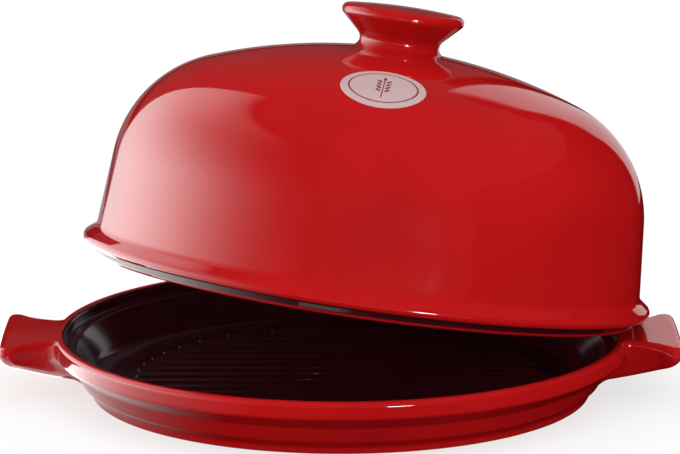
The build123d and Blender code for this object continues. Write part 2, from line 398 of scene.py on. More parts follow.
def onto(field, points):
    """Points moved towards the field's zero by one Newton step p - f g / g.g, held to a small move."""
    least_square, most = 0.25, 1.5 * MM
    slope = slope_of(field, points)
    share = field(points) / np.maximum((slope * slope).sum(axis=-1), least_square)
    return points - np.clip(share, -most, most)[..., None] * slope


# The patch round a handle: its turn from the handle's middle, its stations along the outline, its rows up
# the wall, out under the handle, up its side and back over its top, and the heights where they part on the
# plain section. The anchors are places on the rim at shares of the stations.
PATCH_TURN = math.radians(21)
PATCH_STATIONS = 57
SECTION_ROWS = (12, 46, 12, 28)
SECTION_HEIGHTS = (9.3 * MM, 22.4 * MM, 27.5 * MM)
ANCHOR_SHARES = (0, 0.43, 0.68, 1)
ANCHORS = (0, 14 * MM, 26 * MM)
OUTLINE_ROUNDS, ANCHOR_ROUNDS, RELAX_ROUNDS = 60, 40, 130
RELAX_SHARE = 0.6
OUTER_POINTS = 6001
PLAIN_STATIONS = 112
FOOT_RINGS = (0.0, 0.04, 0.08, 0.11)


class DishForm:
    """The dish's outside as a field, whose zero is its surface, and its sections."""

    def __init__(self, dish, handle):
        self.handle = handle
        self.radius = dish.rim_radius
        self.top = dish.rim_height
        self.edge = dish.rim_edge
        self.crest = dish.rim_radius - dish.rim_width / 2
        foot = dish.rim_radius - dish.foot_setback
        band = dish.rim_radius - dish.flare_out
        lower = band - dish.lower_step
        outer = [(0, 0), (foot, 0), (foot + dish.foot_lean, dish.foot_height), (lower, dish.lower_flare)]
        outer += [(band, dish.lower_band), (self.radius, self.top - dish.rim_band), (self.radius, self.top)]
        outer += [(self.crest, self.top)]
        rounds = [dish.foot_round] * 2 + [dish.step_round] * 2 + [dish.band_round, self.edge]
        self.outer = spaced(rounded(outer, rounds, 15), np.linspace(0, 1, OUTER_POINTS))
        rim_inside = dish.rim_radius - dish.rim_width
        ledge = self.top - dish.ledge_drop
        inner = [(self.crest, self.top), (rim_inside, self.top), (rim_inside, ledge)]
        inner += [(rim_inside - dish.ledge_width, ledge), (dish.cavity_radius, dish.floor_thickness)]
        inner += [(0, dish.floor_thickness)]
        self.inner = rounded(inner, [self.edge, dish.ledge_round, dish.ledge_round, dish.cavity_round], 12)
        underfoot, below_rim, far_up, flat = 0.3 * MM, 3 * MM, 1.0, 1e-12
        radius, height = self.outer[self.outer[:, 0] > foot - underfoot].T
        rising = np.concatenate([[True], np.diff(np.maximum.accumulate(height)) > flat])
        rising &= height < self.top - self.edge - below_rim
        self.heights = np.append(height[rising], far_up)
        self.radii = np.append(radius[rising], self.radius)
        self.cosines = 1 / np.hypot(1, np.gradient(self.radii, self.heights))
        self.under = self.underside()

    def underside(self):
        """Centre (x, z) and radius of the circle through the three points of the handle's underside."""
        handle = self.handle
        middle = (handle.root_place + handle.reach) / 2
        depths = (handle.root_depth, handle.middle_depth, handle.end_depth)
        places = (handle.root_place, middle, handle.reach)
        points = np.array([(x, self.top - depth) for x, depth in zip(places, depths)])
        sides = 2 * (points[1:] - points[0])
        squares = (points**2).sum(axis=1)
        centre = np.linalg.solve(sides, squares[1:] - squares[0])
        return centre, np.linalg.norm(points[0] - centre)

    def plan(self, across, along):
        """Distance to a handle in plan: neck and flare joined, cut by the bowed end."""
        handle = self.handle
        side = np.abs(along) - handle.neck_width
        flare = math.cos(handle.flare) * side - math.sin(handle.flare) * (across - handle.neck_place)
        end = across - handle.reach + along**2 / (2 * handle.end_bow)
        return round_common(round_union(side, flare, handle.neck_round), end, handle.corner_round)

    def outline(self, points):
        """Field of rim and handle in plan."""
        across, along = points[..., 0], points[..., 1]
        rim = np.hypot(across, along) - self.radius
        return round_union(rim, self.plan(across, along), self.handle.root_round)

    def outside(self, points):
        """Field of wall and handle joined and cut at the rim's top, with a wider edge on the handle."""
        deepest, widening = -20 * MM, 12 * MM
        across, along, up = (points[..., k] for k in range(3))
        wall = np.hypot(across, along) - np.interp(up, self.heights, self.radii)
        wall = np.maximum(wall * np.interp(up, self.heights, self.cosines), deepest)
        centre, radius = self.under
        below = np.hypot(across - centre[0], up - centre[1]) - radius
        grip = round_common(self.plan(across, along), below, self.handle.lower_round)
        both = round_union(wall, grip, self.handle.root_round)
        edge = self.edge + (self.handle.edge_round - self.edge) * smooth((across - self.radius) / widening)
        return round_common(both, up - self.top, edge)


def handle_outline(form):
    """Evenly spaced points of the plan's outline, from the handle's end round the neck onto the rim."""
    handle = form.handle
    end, corner, slack, early = 34 * MM, 40 * MM, 4 * MM, 0.6
    side = [(handle.reach, 0), (handle.reach, end), (handle.reach - slack, corner)]
    side += [(handle.neck_place, handle.neck_width), (form.radius, handle.neck_width + slack)]
    rim = [form.radius * np.array([math.cos(turn), math.sin(turn)]) for turn in (early * PATCH_TURN, PATCH_TURN)]
    shares = np.linspace(0, 1, PATCH_STATIONS)
    path = spaced(np.array([*side, *rim]), shares)
    for _ in range(OUTLINE_ROUNDS):
        moved = onto(form.outline, path)
        moved[0], moved[-1] = side[0], rim[-1]
        path = spaced(moved, shares)
    return path


def handle_patch(form):
    """Quarter of the dish's outside round a handle: stations along the outline, rows from foot to crest.

    Each station starts as straight runs from the wall under the handle to the outline, up its side and in
    to the crest, or as the plain section where the outline is the rim. The grid is then relaxed: each point
    moves towards the mean of its four neighbours, along the surface, and back onto the field's zero.
    """
    low, under, side, top = SECTION_ROWS
    heel, inset, headroom, fade = 2.4 * MM, 1 * MM, 1.5 * MM, 3 * MM
    outer = form.outer
    first = np.argmax((outer[:, 0] > form.handle.root_place - inset) & (outer[:, 1] > heel))
    marks = [np.argmax(outer[:, 1] > height) for height in SECTION_HEIGHTS]
    cuts = [first, *marks, len(outer) - 1]
    parts = zip(cuts, cuts[1:], SECTION_ROWS)
    runs = [spaced(outer[start : end + 1], np.linspace(0, 1, rows + 1))[1:] for start, end, rows in parts]
    section = np.concatenate([outer[first][None], *runs])
    outline = handle_outline(form)
    share = np.linspace(0, 1, PATCH_STATIONS)
    anchor = np.interp(share, ANCHOR_SHARES, [*ANCHORS, form.crest * PATCH_TURN])
    for _ in range(ANCHOR_ROUNDS):
        anchor[1:-1] = 0.25 * anchor[:-2] + 0.5 * anchor[1:-1] + 0.25 * anchor[2:]
    turn = anchor / form.crest
    plain = revolved(section, turn).transpose(1, 0, 2)
    centre, radius = form.under
    bottom = centre[1] - np.sqrt(radius**2 - (outline[:, 0] - centre[0]) ** 2) + inset
    foot_of_side = np.column_stack([outline, bottom])[:, None]
    head_of_side = np.column_stack([outline, np.full(PATCH_STATIONS, form.top - headroom)])[:, None]
    root, crest = plain[:, low : low + 1], plain[:, -1:]

    def run(start, end, count):
        """Evenly spaced rows after the start, up to the end."""
        return start + (end - start) * np.linspace(0, 1, count + 1)[1:, None]

    rows = [run(root, foot_of_side, under), run(foot_of_side, head_of_side, side), run(head_of_side, crest, top)]
    grip = np.concatenate([plain[:, : low + 1], *rows], axis=1)
    off_rim = np.clip((np.hypot(*outline.T) - form.radius) / fade, 0, 1)[:, None, None]
    grid = off_rim * grip + (1 - off_rim) * plain
    for _ in range(RELAX_ROUNDS):
        normal = slope_of(form.outside, grid)
        normal /= np.maximum(np.linalg.norm(normal, axis=2, keepdims=True), 1e-6)
        before = np.concatenate([grid[1:2] * (1, -1, 1), grid[:-1]])
        after = np.concatenate([grid[1:], grid[-1:]])
        mean = before + after
        mean[:, 1:-1] += grid[:, :-2] + grid[:, 2:]
        pull = mean / 4 - grid
        pull -= (pull * normal).sum(axis=2, keepdims=True) * normal
        moved = onto(form.outside, grid + RELAX_SHARE * pull)
        grid[:-1, 1:-1] = moved[:-1, 1:-1]
        grid[0, :, 1] = 0
    return grid, turn, section


def dish_grid(form):
    """Closed grid of the dish: underside, outside with both handles, rim, ledge, wall and floor.

    The quarter round a handle is mirrored to all four. Between them the section is turned plainly.
    """
    quarter, turn, section = handle_patch(form)
    quarter = quarter.transpose(1, 0, 2)
    right = np.concatenate([quarter[:, :0:-1] * (1, -1, 1), quarter], axis=1)
    bearings = np.concatenate([-turn[:0:-1], turn])
    between = np.linspace(PATCH_TURN, math.pi - PATCH_TURN, PLAIN_STATIONS)[1:-1]
    front = revolved(section, between)
    outside = np.concatenate([right, front, right * (-1, -1, 1), front * (-1, -1, 1)], axis=1)
    stations = np.concatenate([bearings, between, bearings + math.pi, between + math.pi])
    start = np.argmax(np.all(np.isclose(form.outer, section[0]), axis=1))
    margin, gap = 4 * MM, 5 * MM
    below = refined(spaced(form.outer[: start + 1], np.linspace(0, 1, 301)), gap)
    corner = below[:, 0] > form.handle.root_place - margin
    below = np.concatenate([[(ring, 0) for ring in FOOT_RINGS], below[corner]])[:-1]
    inside = refined(form.inner, gap)[1:]
    return np.concatenate([revolved(below, stations), outside, revolved(inside, stations)])


def ridge_grids(dish):
    """One closed grid per floor ridge: a raised cosine across, round at both ends, flat below the floor."""
    sunk, bluntness = 0.4, 0.35
    count = int(dish.ridge_field // dish.ridge_pitch)
    phase = np.linspace(0, TURN, 20, endpoint=False)
    swing = np.linspace(0, math.pi, 60)
    rise = np.where(np.sin(phase) > 0, 0.5 + 0.5 * np.cos(math.pi * np.cos(phase)), sunk * np.sin(phase))
    grids = []
    for number in range(-count, count + 1):
        middle = number * dish.ridge_pitch
        half = math.sqrt(dish.ridge_field**2 - middle**2)
        taper = np.sin(swing) ** bluntness
        across = (-half * np.cos(swing))[:, None] + 0 * phase
        along = middle + taper[:, None] * dish.ridge_width / 2 * np.cos(phase)
        up = dish.floor_thickness + taper[:, None] * dish.ridge_height * rise
        grids.append(np.stack([across, along, up], axis=2))
    return grids


def crown_layout(lid):
    """Centres of the crown's and the shoulder's arcs, and the angle at which they join, in degrees."""
    draft = lid.wall_draft
    crown = np.array([0, lid.dome_height - lid.crown_radius])
    offset = lid.mouth_radius * math.cos(draft)
    drop = crown[1] * math.sin(draft)
    inner = lid.crown_radius - lid.shoulder_radius
    join = 90 + math.degrees(draft) - math.degrees(math.asin((offset - lid.shoulder_radius - drop) / inner))
    return crown, polar(crown, inner, join), join


def dome_section(lid, rim_radius):
    """Half section of the lid from the crown's top down the outside, round the lip and up the inside."""
    crown, shoulder, join = crown_layout(lid)
    nose_round, cove, lean, steep = lid.bead_round, lid.cove_round, lid.wall_draft, lid.bead_slope
    draft, slope = math.degrees(lean), math.degrees(steep)
    nose = np.array([rim_radius - nose_round, nose_round])
    nose_end = polar(nose, nose_round, slope)
    nose_offset = nose_end @ (math.cos(lean), math.sin(lean))
    cove_offset = lid.mouth_radius * math.cos(lean) + cove * (1 - math.cos(steep - lean))
    run = (nose_offset - cove_offset) / math.sin(steep - lean)
    cove_foot = polar(nose_end, run, slope + 90)
    cove_centre = polar(cove_foot, cove, slope)
    thin = lid.shoulder_radius - lid.wall_thickness
    inside = polar(shoulder, thin, draft)
    lip_inside = inside[0] + (inside[1] + lid.lip_depth) * math.tan(lean)
    lip = [(nose[0], 0), (lid.lip_radius, 0), (lid.lip_radius, -lid.lip_depth)]
    lip += [(lip_inside, -lid.lip_depth), inside]
    path = [
        arc(crown, lid.crown_radius, 90, join, 20),
        arc(shoulder, lid.shoulder_radius, join, draft, 40),
        arc(cove_centre, cove, draft + 180, slope + 180, 8),
        arc(nose, nose_round, slope, -90, 14),
        rounded(lip, [lid.lip_corner, lid.lip_edge, lid.lip_edge]),
        arc(shoulder, thin, draft, join, 30),
        arc(crown, lid.crown_radius - lid.wall_thickness, join, 90, 16),
    ]
    return refined(np.concatenate(path), 4 * MM)


def knob_section(knob, lid):
    """Half section of the knob from its top down to its root, closed below inside the crown.

    A straight flare touches the rim's arc and the waist's, and the waist's runs on into the glaze fillet's
    arc, which touches both the waist and the crown.
    """
    margin, depth = 1 * MM, 3 * MM
    crown, _, _ = crown_layout(lid)
    seat = crown[1] + math.sqrt(lid.crown_radius**2 - knob.waist_radius**2)
    rim_reach = knob.rim_radius - knob.rim_round
    rise = math.sqrt((knob.top_radius - knob.rim_round) ** 2 - rim_reach**2)
    top = np.array([0, seat + knob.height - knob.top_radius])
    rim = np.array([rim_reach, top[1] + rise])
    waist = np.array([knob.waist_radius + knob.waist_round, seat + knob.waist_height])
    across, up = rim - waist
    lean = math.degrees(math.asin((knob.waist_round + knob.rim_round) / math.hypot(across, up)))
    touch = heading(across, up) - lean - 90
    rim_top = heading(rim_reach, rise)
    near = knob.waist_round - knob.root_fillet
    far = lid.crown_radius + knob.root_fillet
    apart = np.linalg.norm(waist - crown)
    along = (apart**2 + far**2 - near**2) / (2 * apart)
    aside = math.sqrt(far**2 - along**2)
    line = (waist - crown) / apart
    fillet = crown + along * line + aside * np.array([-line[1], line[0]])
    turn = heading(*(fillet - waist))
    foot = heading(*(crown - fillet)) % 360
    path = [
        arc(top, knob.top_radius, 90, rim_top, 10),
        arc(rim, knob.rim_round, rim_top, touch, 20),
        arc(waist, knob.waist_round, touch + 180, turn, 20),
        arc(fillet, knob.root_fillet, turn, foot, 18),
        [(fillet[0] + margin, seat - depth), (0, seat - depth)],
    ]
    return refined(np.concatenate(path), 1.5 * MM)


def dome_distance(points, lid):
    """Distance off the dome's outside: from the crown's sphere above the join, from the shoulder's ring below."""
    crown, shoulder, join = crown_layout(lid)
    radius = np.hypot(points[..., 0], points[..., 1])
    height = points[..., 2]
    above = np.degrees(np.arctan2(height - crown[1], radius)) > join
    to_crown = np.hypot(radius, height - crown[1]) - lid.crown_radius
    to_shoulder = np.hypot(radius - shoulder[0], height - shoulder[1]) - lid.shoulder_radius
    return np.where(above, to_crown, to_shoulder)


def medallion_grid(disc, lid):
    """Grid of the medallion: a polar disc dropped on the dome along its axis, then raised by its profile.

    Its marks are the place on the disc, from -1 to 1, for the print.
    The profile is a flat face with a quarter ellipse at its edge, closed by a back just under the glaze.
    """
    crown, _, join = crown_layout(lid)
    lean = math.radians(90 - join) - disc.setback / lid.crown_radius
    turn = -math.pi / 2 - disc.turn
    outward = np.array([math.sin(lean) * math.cos(turn), math.sin(lean) * math.sin(turn), math.cos(lean)])
    side = np.cross([0, 0, 1], outward)
    side /= np.linalg.norm(side)
    up = np.cross(outward, side)
    radius = disc.diameter / 2
    edge, back, rings = 0.5 * MM, -0.4 * MM, 24
    swing = np.linspace(0, math.pi / 2, 8)
    face = np.linspace(0, radius - edge, rings)
    reach = np.concatenate([face, radius - edge + edge * np.sin(swing)[1:], [radius, 0]])
    raised = disc.front * np.concatenate([np.ones(rings), np.cos(swing)[1:], [0, 0]])
    raised[-2:] = back
    bearing = np.linspace(0, TURN, 128, endpoint=False)
    plane = reach[:, None, None] * np.stack([np.cos(bearing), np.sin(bearing)], axis=1)
    points = (0, 0, crown[1]) + outward * lid.crown_radius + plane[..., :1] * side + plane[..., 1:] * up
    for _ in range(8):
        points = points - dome_distance(points, lid)[..., None] * outward
    normal = slope_of(lambda place: dome_distance(place, lid), points)
    normal /= np.linalg.norm(normal, axis=2, keepdims=True)
    marks = np.concatenate([[(0, 0)], plane[1:-1].reshape(-1, 2), [(0, 0)]]) / radius
    marks = np.column_stack([marks, np.zeros(len(marks))])
    return points + raised[:, None, None] * normal, marks


class Value:
    """A node socket that can be used in sums: each operator adds one Math node."""

    def __init__(self, nodes, socket):
        self.nodes = nodes
        self.socket = socket

    def maths(self, operation, *others):
        """This value and others in one Math node."""
        return self.nodes.add("Math", {"operation": operation}, [self, *others])

    def __add__(self, other):
        return self.maths("ADD", other)

    def __sub__(self, other):
        return self.maths("SUBTRACT", other)

    def __rsub__(self, other):
        return self.nodes.add("Math", {"operation": "SUBTRACT"}, [other, self])

    def __mul__(self, other):
        return self.maths("MULTIPLY", other)

    def __truediv__(self, other):
        return self.maths("DIVIDE", other)

    def __pow__(self, other):
        return self.maths("POWER", other)

    __radd__ = __add__
    __rmul__ = __mul__


class Finish:
    """The node tree of one material, with one method that adds any node."""

    def __init__(self, name):
        self.material = bpy.data.materials.new(name)
        self.material.use_nodes = True
        self.tree = self.material.node_tree
        self.tree.nodes.clear()
        self.output = self.tree.nodes.new("ShaderNodeOutputMaterial")

    def add(self, kind, settings=None, inputs=(), output=0):
        """Add a node of a kind, set it, then give values or links to its sockets. Returns one output."""
        node = self.tree.nodes.new("ShaderNode" + kind)
        for key, value in (settings or {}).items():
            setattr(node, key, value)
        pairs = inputs.items() if isinstance(inputs, dict) else enumerate(inputs)
        for key, value in pairs:
            socket = node.inputs[key]
            if isinstance(value, Value):
                self.tree.links.new(value.socket, socket)
            else:
                socket.default_value = value
        return Value(self, node.outputs[output])

    def place(self):
        """Object coordinates: the same as the frame's metres."""
        return self.add("TexCoord", output="Object")

    def parts(self, place):
        """The three coordinates of a place."""
        first = self.add("SeparateXYZ", None, [place])
        return [Value(self, socket) for socket in first.socket.node.outputs]

    def marks(self):
        """The three numbers of the piece's marks."""
        return self.parts(self.add("Attribute", {"attribute_name": "marks"}, output="Vector"))

    def bell(self, value, middle, width):
        """Bell curve exp(-((value - middle) / width)^2)."""
        away = (value - middle) / width
        return self.add("Math", {"operation": "EXPONENT"}, [away * away * -1])

    def noise(self, place, scale, detail=2.0):
        """Noise between 0 and 1 at a scale in bumps per metre."""
        inputs = {"Vector": place, "Scale": scale, "Detail": detail}
        return self.add("TexNoise", {"noise_dimensions": "3D"}, inputs, "Fac")

    def blend(self, share, first, second):
        """Colour that goes from the first to the second as the share goes from 0 to 1."""
        inputs = {"Factor": share, 6: first, 7: second}
        return self.add("Mix", {"data_type": "RGBA"}, inputs, 2)

    def step(self, value, low, high):
        """Smooth step from 0 at low to 1 at high."""
        settings = {"interpolation_type": "SMOOTHSTEP"}
        return self.add("MapRange", settings, {"Value": value, "From Min": low, "From Max": high})

    def band(self, value, low, high, soft):
        """1 between low and high, 0 outside, with soft ends."""
        return self.step(value, low - soft, low + soft) * (1 - self.step(value, high - soft, high + soft))

    def shade(self, inputs):
        """Finish with the shader: its sockets by name."""
        shader = self.add("BsdfPrincipled", None, inputs)
        self.tree.links.new(shader.socket, self.output.inputs["Surface"])
        return self.material

    def glaze(self, base, rough, height):
        """Finish as glaze, whose height stands for a twentieth of a millimetre."""
        normal = self.add("Bump", None, {"Height": height, "Distance": 0.05 * MM, "Strength": 0.6})
        return self.shade(
            {"Base Color": base, "Roughness": rough, "Normal": normal, "IOR": 1.5, "Specular IOR Level": 0.5}
        )

    def cloth(self, inputs):
        """Finish as cloth without gloss, black unless said otherwise, with what else it does."""
        return self.shade({"Base Color": BLACK, "Specular IOR Level": 0.0, **inputs})


def glaze_coat(finish, place, colours):
    """Colour, roughness and height of a thick glossy glaze over coarse clay.

    The coat runs from its full to its deep colour in wide drifts, with fine darker and duller flecks. Its
    surface is wavy, with a fine peel.
    """
    drift_scale, fleck_scale, wave_scale, peel_scale, dull_scale = 14, 900, 35, 260, 60
    glossy, dull, fleck_dull, drift_depth, fleck_depth, wave_share = 0.045, 0.03, 0.05, 0.45, 0.25, 0.8
    fleck = finish.step(finish.noise(place, fleck_scale, 1), 0.70, 0.78)
    depth = finish.step(finish.noise(place, drift_scale, 3), 0.35, 0.75) * drift_depth + fleck * fleck_depth
    base = finish.blend(depth, colours.red, colours.red_deep)
    dulled = finish.step(finish.noise(place, dull_scale, 3), 0.4, 0.7)
    rough = glossy + dull * dulled + fleck * fleck_dull
    height = finish.noise(place, wave_scale) * wave_share + finish.noise(place, peel_scale) * (1 - wave_share)
    return base, rough, height


def red_glaze(name, colours, recess=None):
    """The red glaze of lid and knob, with painted shade: the glaze is darkened between two section heights under
    the bead, in the recess above the lip.
    """
    finish = Finish(name)
    place = finish.place()
    base, rough, height = glaze_coat(finish, place, colours)
    if recess:
        low, high, inner = recess
        soft = 0.5 * MM
        radius, up, _ = finish.marks()
        # Painted shade: the recess under the bead's overhang is darkened to the near-black recess colour.
        recess_shade = finish.band(up, low, high, soft) * finish.step(radius, inner, inner + soft)
        base = finish.blend(recess_shade, base, colours.recess_shade)
    return finish.glaze(base, rough, height)


def dish_glaze(name, colours):
    """The dish: red outside, aubergine inside the rim, bare clay underneath, told apart by place.

    The border between red and aubergine runs inside the wall. Its radius grows with height, slowly beside
    the floor and faster beside the flare, up to the inner edge of the rim.
    """
    floor_radius, floor_lean, flare_radius, flare_lean = 0.1208, 0.61, 0.1147, 1.02
    rim_radius, wander, soft = 0.1384, 1 * MM, 0.6 * MM
    finish = Finish(name)
    place = finish.place()
    base, rough, height = glaze_coat(finish, place, colours)
    across, along, up = finish.parts(place)
    radius = (across * across + along * along) ** 0.5
    run = (finish.noise(place, 120, 3) - 0.5) * wander
    low = up * floor_lean + floor_radius
    flare = up * flare_lean + flare_radius
    border = low.maths("MAXIMUM", flare).maths("MINIMUM", rim_radius) + run
    inside = finish.step(border - radius, -soft, soft) * finish.step(up, 4.0 * MM, 4.5 * MM)
    bare = 1 - finish.step(up, 0.2 * MM, 0.6 * MM)
    base = finish.blend(inside, base, colours.aubergine)
    base = finish.blend(bare, base, colours.clay)
    return finish.glaze(base, rough + bare * 0.75 + inside * 0.08, height)


def medallion_print(name, colours):
    """The medallion: a satin ground with a thin ring and an ear of grain printed in red.

    The ear is mirrored about its stem. Its grains are one leaning ellipse repeated up the stem. Places are
    in shares of the medallion's radius.
    """
    ring_radius, ring_width, soft = 0.80, 0.022, 0.01
    ear_low, ear_high, pitch, grain_out, tip_place = -0.30, 0.38, 0.17, 0.105, 0.46
    stem_low, stem_high, stem_half, stem_soft = -0.61, 0.37, 0.014, 0.004
    lean_out, lean_up, long_share, short_share = 0.57, 0.82, 110, 620
    finish = Finish(name)
    place = finish.place()
    across, along, _ = finish.marks()
    aside = across.maths("ABSOLUTE")
    away = (across * across + along * along) ** 0.5

    def grain(long_way, short_way):
        """One grain, an ellipse: 1 inside and 0 outside."""
        size = (long_way * long_way * long_share + short_way * short_way * short_share) ** 0.5
        return finish.step(finish.bell(size, 0, 1.0), 0.36, 0.42)

    ring = finish.step(finish.bell(away, ring_radius, ring_width), 0.35, 0.45)
    within = (((along - ear_low) / pitch).maths("FRACT") - 0.5) * pitch
    out = aside - grain_out
    ear = grain(out * lean_out + within * lean_up, out * lean_up - within * lean_out)
    ear = ear * finish.band(along, ear_low, ear_high, soft)
    tip = grain(along - tip_place, across)
    stem = 1 - finish.step(aside, stem_half - stem_soft, stem_half + stem_soft)
    stem = stem * finish.band(along, stem_low, stem_high, soft)
    drawn = ring.maths("MAXIMUM", ear).maths("MAXIMUM", tip).maths("MAXIMUM", stem)
    speck = finish.noise(place, 1500, 2)
    wear = 1 - 0.25 * finish.step(finish.noise(place, 900, 1), 0.55, 0.7)
    ground = finish.blend(finish.step(speck, 0.45, 0.8) * 0.30, colours.print_ground, colours.red)
    base = finish.blend(drawn * wear, ground, colours.print_ink)
    rough = 0.30 + speck * 0.12 - drawn * 0.08
    return finish.shade({"Base Color": base, "Roughness": rough, "Specular IOR Level": 0.4})


def dress(piece, body, slot, *nodes):
    """Seat a piece on its body, in place of the CAD nodes that it stands for. The slot is not used."""
    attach(piece, body)
    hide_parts(*nodes)


class CLOCHE_OT_dish(bpy.types.Operator):
    """Shape the dish with its handles and floor ridges"""

    bl_idname = "cloche.dish"
    bl_label = "Dish"

    def execute(self, context):
        settings = context.scene.cloche
        material = dish_glaze("dish_glaze", settings.colours)
        form = DishForm(settings.dish, settings.handle)
        dress(make_piece("glazed_dish", [dish_grid(form)], material), "dish", "dish_glaze", "dish")
        dress(make_piece("floor_ridges", ridge_grids(settings.dish), material), "dish", "dish_glaze", "dish")
        return {"FINISHED"}


class CLOCHE_OT_dome(bpy.types.Operator):
    """Turn the dome and set it at its tilt"""

    bl_idname = "cloche.dome"
    bl_label = "Dome"

    def execute(self, context):
        settings = context.scene.cloche
        path = dome_section(settings.lid, settings.dish.rim_radius)
        stations = np.linspace(0, TURN, 288, endpoint=False)
        grid = placed(revolved(path, stations), lid_place(settings.lid))
        # The band under the bead where the dome's glaze is darkened as painted shade.
        low, high, inset = -3.2 * MM, 0.4 * MM, 1 * MM
        recess = (low, high, settings.lid.lip_radius - inset)
        marks = np.concatenate([path[:1], np.repeat(path[1:-1], len(stations), axis=0), path[-1:]])
        marks = np.column_stack([marks, np.zeros(len(marks))])
        piece = make_piece("glazed_dome", [grid], red_glaze("dome_glaze", settings.colours, recess), marks)
        dress(piece, "lid", "lid_glaze", "dome")
        return {"FINISHED"}


class CLOCHE_OT_knob(bpy.types.Operator):
    """Turn the knob and stand it on the crown"""

    bl_idname = "cloche.knob"
    bl_label = "Knob"

    def execute(self, context):
        settings = context.scene.cloche
        path = knob_section(settings.knob, settings.lid)
        stations = np.linspace(0, TURN, 192, endpoint=False)
        grid = placed(revolved(path, stations), lid_place(settings.lid))
        piece = make_piece("glazed_knob", [grid], red_glaze("knob_glaze", settings.colours))
        dress(piece, "lid", "knob_glaze", "knob")
        return {"FINISHED"}


class CLOCHE_OT_medallion(bpy.types.Operator):
    """Lay the medallion on the dome's front"""

    bl_idname = "cloche.medallion"
    bl_label = "Medallion"

    def execute(self, context):
        settings = context.scene.cloche
        grid, marks = medallion_grid(settings.medallion, settings.lid)
        grid = placed(grid, lid_place(settings.lid))
        material = medallion_print("medallion_print", settings.colours)
        piece = make_piece("printed_medallion", [grid], material, marks)
        dress(piece, "lid", "medallion_transfer", "medallion")
        return {"FINISHED"}


def seen_by(item, mirrored):
    """Let an object be mirrored, or else only light what is diffuse. The camera doesn't see it."""
    item.visible_camera = False
    item.visible_glossy = mirrored
    item.visible_diffuse = not mirrored


def add_panel_lamp(name, place, target, size, power, mirrored):
    """A soft area lamp of a width and height, facing the target.

    The fill lamps are not mirrored in the glaze, because the real glaze shows no lamp in front.
    """
    lamp = bpy.data.lights.new(name, "AREA")
    lamp.shape = "RECTANGLE"
    lamp.size, lamp.size_y = size
    lamp.energy = power
    lamp_object = bpy.data.objects.new(name, lamp)
    lamp_object.location = place
    lamp_object.rotation_euler = (Vector(target) - Vector(place)).to_track_quat("-Z", "Y").to_euler()
    seen_by(lamp_object, mirrored)
    bpy.context.scene.collection.objects.link(lamp_object)


def add_sheet(name, path, degrees, material, mirrored=True):
    """A curved sheet round the object, which the glaze only mirrors, or which only lights it.

    Each point (r, z) of the path is turned to each bearing b: (r sin b, -r cos b, z). The bearing is 0 in
    front and negative on the left.
    """
    grid = revolved(path, np.radians(degrees) - math.pi / 2)
    rows, columns = grid.shape[:2]
    corner = np.arange(rows - 1)[:, None] * columns + np.arange(columns - 1)
    quads = np.stack([corner, corner + 1, corner + columns + 1, corner + columns], axis=2).reshape(-1, 4)
    sheet = new_object(name, grid.reshape(-1, 3).tolist(), quads.tolist(), material)
    seen_by(sheet, mirrored)
    sheet.visible_shadow = False


def bearing_and_height(finish):
    """Bearing of a place round the object, in radians, and its height."""
    across, along, up = finish.parts(finish.place())
    return finish.add("Math", {"operation": "ARCTAN2"}, [across, along * -1]), up


def left_cloth(strength):
    """Softbox cloth: brightest low down on the left, dimmer upwards, with a slower fall behind."""
    side, side_width, behind, behind_width = -1.69, 0.62, -2.36, 0.55
    finish = Finish("left_softbox_cloth")
    bearing, up = bearing_and_height(finish)
    rise = 0.12 + 0.88 * finish.bell(up, 0.05, 0.40)
    front = finish.bell(bearing, side, side_width) * rise
    lift = 0.16 + 0.11 * finish.step(up, 0.05, 0.45)
    back = lift * finish.bell(bearing, behind, behind_width) * (1 - finish.step(up, 0.75, 1.4))
    share = (front + back) * (1 - finish.step(up, 1.1, 1.35))
    return finish.cloth({"Emission Color": finish.blend(share, BLACK, WHITE), "Emission Strength": strength})


def right_cloth(strength):
    """Softbox cloth of the narrow strip, with a soft top that slants up towards the back."""
    slant, low, high = 0.774, -1.69, -1.63
    finish = Finish("right_softbox_cloth")
    bearing, up = bearing_and_height(finish)
    shade = finish.blend(finish.step(up - bearing * slant, low, high), WHITE, BLACK)
    return finish.cloth({"Emission Color": shade, "Emission Strength": strength})


def flag_cloth():
    """Black cloth that fades out towards the left softbox and is thinner behind."""
    thin = 0.6
    finish = Finish("flag_cloth")
    bearing, _ = bearing_and_height(finish)
    front = finish.step(bearing, -1.35, -0.45)
    behind = thin - thin * finish.step(bearing, -2.62, -2.55)
    return finish.cloth({"Alpha": front.maths("MAXIMUM", behind)})


def floor_paint(settings):
    """Matt pale paint, brighter for rays from the camera and from mirroring surfaces."""
    finish = Finish("floor_paint")
    rays = finish.add("LightPath").socket.node.outputs
    seen = Value(finish, rays["Is Camera Ray"])
    for kind in ("Is Glossy Ray", "Is Transmission Ray"):
        seen = seen.maths("MAXIMUM", Value(finish, rays[kind]))
    glow = {"Emission Color": WHITE, "Emission Strength": seen * settings.floor_seen}
    return finish.cloth({"Base Color": settings.floor_colour, "Roughness": 0.9, **glow})


def upright(radius, low, high, rows=2):
    """Path of a wall that stands at one radius."""
    return np.stack([np.full(rows, radius), np.linspace(low, high, rows)], axis=1)


